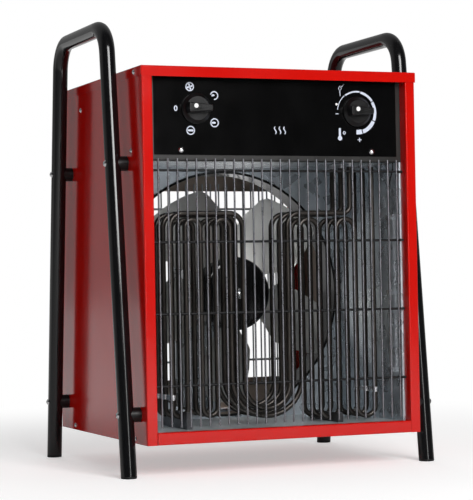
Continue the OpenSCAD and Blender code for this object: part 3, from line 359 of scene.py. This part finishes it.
# Heating elements: three serpentines of 8.5 mm steel tube, oxidised dark by the heat. Hexagon
# ferrules and nuts hold their ends in the duct's roof, and clips and zinc combs hold their bends.
sheath = surface("oxidised sheath", [(0.024, 0.0215, 0.019), (0.08, 0.071, 0.064)], 26 * mm, (0.26, 0.38),
                 relief=0.03 * mm, grain=1.2 * mm, metallic=0.85, stretch=(1, 1, 0.3))
for node in ("heating_element_front", "heating_element_middle", "heating_element_rear"):
    dressed(node, sheath)
for node in ("element_ferrules", "element_nuts", "element_clips"):
    dressed(node, bright_steel)
dulled_zinc = surface("heat-dulled zinc", [(0.035, 0.036, 0.04), (0.09, 0.09, 0.095)], 8 * mm, (0.35, 0.5),
                      metallic=0.8)
dressed("element_combs", dulled_zinc)
copper_alloy = surface("copper alloy", [(0.66, 0.4, 0.24), (0.75, 0.5, 0.3)], 8 * mm, (0.22, 0.34),
                       metallic=1.0)
dressed("element_terminals", copper_alloy)

# The thermostat's sensor: a tinned copper bulb in three spring clips on the right duct wall, and a
# thin black-sleeved capillary that runs up through the roof.
tinned = surface("tinned copper", [(0.74, 0.70, 0.70), (0.84, 0.80, 0.80)], 10 * mm, (0.16, 0.26),
                 metallic=1.0)
dressed("sensor_bulb", tinned)
dressed("capillary_tube", black_moulding)
dressed("bulb_clips", bright_steel)

# The fan: five pressed aluminium paddles, each pitched and lightly cambered, with rounded tip
# corners. Their roots sit in a black spun hub that a domed nut holds on the motor's shaft.
blade_metal = surface("satin aluminium", [(0.74, 0.72, 0.68), (0.86, 0.84, 0.80)], 40 * mm, (0.34, 0.46),
                      relief=0.02 * mm, grain=2 * mm, metallic=0.96)
blade_count, blade_turn, blade_pitch = 5, -32, -32
blade_depth, root_r, tip_r, corner_r = 31 * mm, 56, 183.5, 125
root_half, tip_half, camber, widest_share, corner_rise = 27, 63, 5, 0.6, 58
hub_low, hub_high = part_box("fan_hub")
fan_mid = Vector((0, hub_low.y + blade_depth, (hub_low.z + hub_high.z) / 2))
blade = bmesh.new()
bmesh.ops.create_grid(blade, x_segments=16, y_segments=16, size=1)
for vert in blade.verts:
    across, out = vert.co.x, (vert.co.y + 1) / 2
    widen = min(out / widest_share, 1)
    half = root_half + (tip_half - root_half) * widen * widen * (3 - 2 * widen)
    corner = corner_r + corner_rise * math.sqrt(1 - across ** 6)
    tip = min(math.sqrt(tip_r ** 2 - (tip_half * across) ** 2), corner)
    bow = camber * out * (1 - across ** 2) - camber / 2
    vert.co = Vector((half * across, bow, root_r + out * (tip - root_r))) * mm
bmesh.ops.solidify(blade, geom=blade.faces[:], thickness=1.6 * mm)
sharpen(blade)
set_round = [Matrix.Translation(fan_mid)
             @ Matrix.Rotation(math.radians(blade_turn + i * 360 / blade_count), 4, "Y")
             @ Matrix.Rotation(math.radians(blade_pitch), 4, "Z") for i in range(blade_count)]
blades = repeated(blade, set_round)
sharpen(blades, math.radians(50))
piece("cambered_blades", blades, blade_metal, "fan", ["fan_blades"])
hub = turned([(6, 0), (52, 0), (56, 0.8), (59.5, 3), (61.5, 6.5), (62, 10), (62, 57), (59.5, 57),
              (59.5, 8), (57, 4), (53, 3), (14, 3), (14, 34), (6, 34), (6, 0)], 56)
bmesh.ops.scale(hub, vec=(mm, mm, mm), verts=hub.verts)
hub_seat = Matrix.Translation((0, hub_low.y, fan_mid.z)) @ Matrix.Rotation(math.radians(-90), 4, "X")
bmesh.ops.transform(hub, matrix=hub_seat, verts=hub.verts)
sharpen(hub)
piece("spun_hub", hub, black_enamel, "fan", ["fan_hub"])
dressed("fan_nut", bright_steel, "fan")
dressed("motor_shaft", bright_steel, "fan")
dressed("motor_rotor", bright_steel, "fan")
for node in ("motor_front_shell", "motor_rear_shell"):
    dressed(node, black_enamel)
for node in ("motor_stator", "motor_bearings", "motor_screws"):
    dressed(node, bright_steel)

# The control panel: a 1.5 mm plate with a satin black coat, held by two screws on a folded carrier
# sheet that is coloured near black as painted shade. The thermal cut-out's white reset button comes through
# the plate.
# The carrier's near-black colour is painted shade.
carrier_painted_shade = surface("carrier painted near black as shade", [(0.008, 0.0073, 0.0066), (0.013, 0.012, 0.011)], 30 * mm,
                       (0.35, 0.48), relief=0.02 * mm, grain=1.2 * mm)
plate_black = surface("satin black plate", [(0.0016, 0.0016, 0.0017), (0.0026, 0.0026, 0.0027)], 40 * mm,
                      (0.12, 0.17), relief=0.004 * mm, grain=2 * mm, level=0.2)
dressed("control_carrier", carrier_painted_shade)
dressed("control_plate", plate_black)
plate_screw_rise = 2.6 * mm
seats = [Matrix.Translation(((low.x + high.x) / 2, low.y + plate_screw_rise, (low.z + high.z) / 2)) @ facing
         for low, high in solids("panel_screws")]
screws = repeated(head(4.7 * mm, plate_screw_rise, 1.1 * mm, 6 * mm), seats)
piece("plate_screw_heads", screws, bright_steel, nodes=["panel_screws"])
white_moulding = surface("white moulding", [(0.8, 0.8, 0.79), (0.86, 0.86, 0.85)], 6 * mm, (0.25, 0.35))
dressed("reset_button", white_moulding, "reset")

# The two knobs: black moulded, with a flared skirt and a tapered bar to grip. The bar's wide end
# is the pointer and carries an inlaid white dot, which turns with the knob.
plate_front, knob_height, knob_x, knob_gap = -215.75 * mm, 566.8 * mm, 138 * mm, 0.5 * mm
grip_r, grip_low, grip_rise, grip_half, grip_taper = 20.4 * mm, 8.6 * mm, 14.7 * mm, 6.6 * mm, 4 / 48
for side, word, body in ((-1, "switch", "switch_control"), (1, "thermostat", "thermostat_control")):
    seat = Matrix.Translation((side * knob_x, plate_front - knob_gap, knob_height)) @ facing
    skirt = turned([(0, 0), (23.5, 0), (24, 0.5), (24, 2.5), (23.1, 3.3), (21.7, 4.9), (20.4, 6.7),
                    (19.3, 8.3), (18.4, 9), (0, 9)], 56)
    bmesh.ops.scale(skirt, vec=(mm, mm, mm), verts=skirt.verts)
    grip = bmesh.new()
    bmesh.ops.create_circle(grip, cap_ends=True, segments=64, radius=grip_r,
                            matrix=Matrix.Translation((0, 0, grip_low)))
    for flank in (-1, 1):
        bmesh.ops.bisect_plane(grip, geom=grip.verts[:] + grip.edges[:] + grip.faces[:],
                               plane_co=(0, flank * grip_half, 0), plane_no=(grip_taper, flank, 0),
                               clear_outer=True)
    raised = bmesh.ops.extrude_face_region(grip, geom=grip.faces[:])["geom"]
    upper = [g for g in raised if isinstance(g, bmesh.types.BMVert)]
    bmesh.ops.translate(grip, vec=(0, 0, grip_rise), verts=upper)
    bmesh.ops.scale(grip, vec=(0.97, 0.94, 1), verts=upper)
    rim = [e for e in grip.edges if all(v in set(upper) for v in e.verts)]
    bmesh.ops.bevel(grip, geom=rim, affect="EDGES", offset=1.3 * mm, segments=3, profile=0.5, material=-1)
    bmesh.ops.recalc_face_normals(grip, faces=grip.faces)
    bar_mesh = bpy.data.meshes.new("bar")
    grip.to_mesh(bar_mesh)
    grip.free()
    skirt.from_mesh(bar_mesh)
    bpy.data.meshes.remove(bar_mesh)
    bmesh.ops.transform(skirt, matrix=seat, verts=skirt.verts)
    sharpen(skirt)
    even_shading(piece(word + "_knob_body", skirt, black_moulding, body, [word + "_knob"]))
    dot = turned([(0, -0.6), (3.6, -0.6), (3.6, 0.05), (3.45, 0.17), (0, 0.2)], 40)
    bmesh.ops.scale(dot, vec=(mm, mm, mm), verts=dot.verts)
    on_grip = Matrix.Translation((-8.4 * mm, 2.3 * mm, grip_low + grip_rise))
    bmesh.ops.transform(dot, matrix=seat @ on_grip, verts=dot.verts)
    sharpen(dot)
    piece(word + "_knob_dot", dot, white_moulding, body)

# The print on the control plate: pale ink laid on in one pass, 0.1 mm proud. A nought and four ring
# figures stand round the switch, and a scale of growing strokes runs round the thermostat. Places
# are in millimetres from the middle and from the casing's underside.
pale_ink = surface("pale screen ink", [(0.52, 0.56, 0.66), (0.60, 0.64, 0.74)], 3 * mm, (0.45, 0.6))
ink = bmesh.new()


def stroke(line, widths, closed=False):
    """A printed stroke along (across, height) points; its width may change along the line."""
    count, pairs = len(line), []
    for k, (x, z) in enumerate(line):
        before = line[k - 1] if closed or k else (x, z)
        after = line[(k + 1) % count] if closed or k < count - 1 else (x, z)
        along = (Vector(after) - Vector(before)).normalized()
        half = (widths[k] if isinstance(widths, list) else widths) / 2
        aside = Vector((-along.y, along.x)) * half
        pairs.append([ink.verts.new(((x + side * aside.x) * mm, (z + side * aside.y) * mm, 0))
                      for side in (1, -1)])
    for (a, b), (c, d) in zip(pairs, pairs[1:] + (pairs[:1] if closed else [])):
        bmesh.ops.contextual_create(ink, geom=[a, b, d, c])


def arc(x, z, r, start, end, steps=40, rz=None):
    """Points on an arc about (x, z), by its angles in degrees."""
    angles = [math.radians(start + (end - start) * k / steps) for k in range(steps + 1)]
    return [(x + r * math.cos(a), z + (rz or r) * math.sin(a)) for a in angles]


fan_x, fan_z = -148, 550.6
stroke(arc(-171.7, 516.8, 2.1, 0, 351, 39, rz=3.6), 1.7, closed=True)
for x, z in ((fan_x, fan_z), (-107.6, 495.2), (-147.6, 482.8)):
    stroke(arc(x, z, 6.2, 0, 351, 39), 1.7, closed=True)
for quarter in range(4):
    lean_to = math.radians(90 * quarter + 20)
    stroke([(fan_x + r * math.cos(lean_to), fan_z + r * math.sin(lean_to)) for r in (0.2, 2, 4, 5)],
           [0.8, 2.6, 3.2, 1.6])
stroke(arc(-107.6, 537.6, 6, 168, -95), 1.8)
stroke(arc(-108.6, 534.6, 3.6, 150, 60, 8), [0.8, 1.6, 2.4, 3.0, 3.3, 3.2, 2.6, 1.6, 0.6])
stroke([(-112.2, 495.2), (-111, 495.2), (-107, 495.2), (-105.8, 495.2)], [2, 3.2, 3.2, 2])
stroke([(-152.2, 482.8), (-151, 482.8), (-144.2, 482.8), (-143, 482.8)], [2, 3.1, 3.1, 2])
for start, end, width in ((173, 128, 1.3), (126, 80.5, 2.5), (78, 35, 3.7), (32, -22, 4.9),
                          (-25, -71, 6.1), (-74, -92, 7.3)):
    stroke(arc(138, 515.2, 35 - width / 2, start, end, 24), width)
stroke([(100.6, 512.8), (105.4, 512.8)], 1.5)
stroke([(138.9, 471.6), (145.5, 471.6)], 1.4)
stroke([(142.2, 468.3), (142.2, 474.9)], 1.4)
stroke([(106.4, 553.6), (108.6, 549.2), (111.4, 553.4), (109, 558)], 1.2, closed=True)
stroke([(108.6, 549.2), (109, 540.6)], [1.4, 0.8])
stroke([(111.2, 555.6), (116.4, 560.4)], [1.5, 0.7])
stroke([(107.5, 476), (107.5, 489), (107.5, 490)], [3.8, 3.8, 2])
stroke(arc(107.5, 473.8, 2.1, 0, 351, 39), 3.4, closed=True)
stroke(arc(115.2, 482.4, 2.0, 0, 351, 26), 1.3, closed=True)
for x in (-5, 3, 11):
    stroke([(x + 1.5 * math.sin(k * math.pi / 6), 479 + k) for k in range(13)],
           [0.9, 1.3] + [1.7] * 9 + [1.3, 0.9])
bmesh.ops.recalc_face_normals(ink, faces=ink.faces)
bmesh.ops.solidify(ink, geom=ink.faces[:], thickness=0.12 * mm)
on_plate = Matrix.Translation((0, plate_front - 0.02 * mm, casing_low)) @ facing
bmesh.ops.transform(ink, matrix=on_plate, verts=ink.verts)
piece("plate_print", ink, pale_ink, flat=True)

# The electrical compartment: moulded and pressed component bodies that stand on the duct's roof or
# behind the control plate, with the spindles and the spring that the controls move.
grey_moulding = surface("grey moulding", [(0.4, 0.41, 0.41), (0.5, 0.51, 0.51)], 20 * mm, (0.4, 0.55),
                        relief=0.02 * mm, grain=0.9 * mm)
for node in ("rotary_switch", "contactor", "terminal_block"):
    dressed(node, grey_moulding)
dressed("start_capacitor", blade_metal)
for node in ("thermal_cutout", "cable_gland", "gland_nut"):
    dressed(node, black_moulding)
dressed("thermostat_body", bright_steel)
dressed("contactor_armature", black_moulding, "armature")
dressed("reset_spring", bright_steel, "reset")
dressed("switch_shaft", bright_steel, "switch_control")
dressed("thermostat_shaft", bright_steel, "thermostat_control")

# The studio: a pale floor that fades into a white surround, a large soft lamp in front that keeps
# clear of the mirror line of the control plate, and a narrow one for the crisp lines on the tubes.
# A weak fill lights the back of the casing and shows in no reflection.
floor_bm = bmesh.new()
bmesh.ops.create_grid(floor_bm, x_segments=1, y_segments=1, size=20)
floor_mesh = bpy.data.meshes.new("floor")
floor_bm.to_mesh(floor_mesh)
floor_bm.free()
floor = bpy.data.objects.new("floor", floor_mesh)
bpy.context.scene.collection.objects.link(floor)
floor_mat = bpy.data.materials.new("pale floor")
floor_mat.use_nodes = True
new, link = floor_mat.node_tree.nodes.new, floor_mat.node_tree.links.new


def combined(operation, first, second):
    """A value made from two others; a number stands for itself."""
    step = new("ShaderNodeMath")
    step.operation = operation
    for socket, value in zip(step.inputs, (first, second)):
        if isinstance(value, (int, float)):
            socket.default_value = value
        else:
            link(value, socket)
    return step.outputs[0]


def eased(value, low, high, top=1.0):
    """A smooth rise from nought to the top between two limits of a value."""
    rise = new("ShaderNodeMapRange")
    rise.interpolation_type = "SMOOTHSTEP"
    rise.inputs["From Min"].default_value = low
    rise.inputs["From Max"].default_value = high
    rise.inputs["To Max"].default_value = top
    link(value, rise.inputs["Value"])
    return rise.outputs["Result"]


floor_lift, fade_near, fade_far, mirrored_from, mirrored_share = 0.42, 0.4, 1.5, 1.5, 0.6
rays = new("ShaderNodeLightPath")
coords = new("ShaderNodeTexCoord")
away = new("ShaderNodeVectorMath")
away.operation = "LENGTH"
link(coords.outputs["Object"], away.inputs[0])
spot = new("ShaderNodeSeparateXYZ")
link(coords.outputs["Object"], spot.inputs[0])
behind = combined("MULTIPLY", eased(spot.outputs["Y"], 0.0, mirrored_from, mirrored_share),
                  rays.outputs["Is Glossy Ray"])
visible = combined("MAXIMUM", rays.outputs["Is Camera Ray"], behind)
floor_skin = floor_mat.node_tree.nodes["Principled BSDF"]
floor_skin.inputs["Base Color"].default_value = (0.84, 0.84, 0.84, 1)
floor_skin.inputs["Roughness"].default_value = 0.7
floor_skin.inputs["Emission Color"].default_value = (1, 1, 1, 1)
link(combined("MULTIPLY", rays.outputs["Is Camera Ray"], floor_lift), floor_skin.inputs["Emission Strength"])
glow = new("ShaderNodeEmission")
over = new("ShaderNodeMixShader")
link(combined("MULTIPLY", eased(away.outputs["Value"], fade_near, fade_far), visible), over.inputs[0])
link(floor_skin.outputs[0], over.inputs[1])
link(glow.outputs[0], over.inputs[2])
link(over.outputs[0], floor_mat.node_tree.nodes["Material Output"].inputs["Surface"])
floor.data.materials.append(floor_mat)

world = bpy.data.worlds.new("surround")
world.use_nodes = True
bpy.context.scene.world = world
new, link = world.node_tree.nodes.new, world.node_tree.links.new
mirror_bright, mirror_dim, soft_light = 0.3, 0.03, 0.24
rays = new("ShaderNodeLightPath")
coords = new("ShaderNodeTexCoord")
spot = new("ShaderNodeSeparateXYZ")
link(coords.outputs["Generated"], spot.inputs[0])
bright_behind = eased(spot.outputs["Y"], -0.25, 0.35, mirror_bright)
mirrored = combined("MULTIPLY", combined("ADD", bright_behind, mirror_dim), rays.outputs["Is Glossy Ray"])
plain = combined("MULTIPLY", combined("SUBTRACT", 1.0, rays.outputs["Is Glossy Ray"]), soft_light)
strength = combined("MAXIMUM", combined("ADD", mirrored, plain), rays.outputs["Is Camera Ray"])
lit = world.node_tree.nodes["Background"]
lit.inputs["Color"].default_value = (1, 1, 1, 1)
link(strength, lit.inputs["Strength"])

middle = Vector((0, 0, 0.36))
for name, place, size, power in (("soft lamp", (-0.05, -3.5, 2.0), (1.7, 1.7), 105),
                                 ("strip lamp", (0.3, -3.4, 1.0), (0.4, 1.9), 16),
                                 ("rear fill", (0.5, 3.4, 1.4), (1.6, 1.6), 26)):
    lamp = bpy.data.lights.new(name, "AREA")
    lamp.shape = "RECTANGLE"
    lamp.size, lamp.size_y = size
    lamp.energy = power
    holder = bpy.data.objects.new(name, lamp)
    holder.location = place
    holder.rotation_euler = (middle - Vector(place)).to_track_quat("-Z", "Y").to_euler()
    holder.visible_camera = False
    holder.visible_glossy = name != "rear fill"
    bpy.context.scene.collection.objects.link(holder)

# The camera stands at the photograph's viewing angle: low, far off and to the left of the front.
# Its lens and its slight roll were fitted to the casing's corners.
yaw, pitch, roll = 0.385, 0.0156, -0.0177
camera_place = (-1.1564, -2.88541, 0.30184)
focal_pixels, frame_pixels, sensor = 1845.07, 500, 36
ahead = Vector((math.sin(yaw) * math.cos(pitch), math.cos(yaw) * math.cos(pitch), math.sin(pitch)))
right = Vector((math.cos(yaw), -math.sin(yaw), 0))
up = right.cross(ahead)
across = right * math.cos(roll) + up * math.sin(roll)
upward = up * math.cos(roll) - right * math.sin(roll)
camera = bpy.data.objects.new("camera", bpy.data.cameras.new("camera"))
camera.data.sensor_width = sensor
camera.data.lens = focal_pixels * sensor / frame_pixels
turned_to = Matrix((across, upward, -ahead)).transposed().to_4x4()
camera.matrix_world = Matrix.Translation(camera_place) @ turned_to
bpy.context.scene.collection.objects.link(camera)
bpy.context.scene.camera = camera
bpy.context.scene.view_settings.view_transform = "Standard"
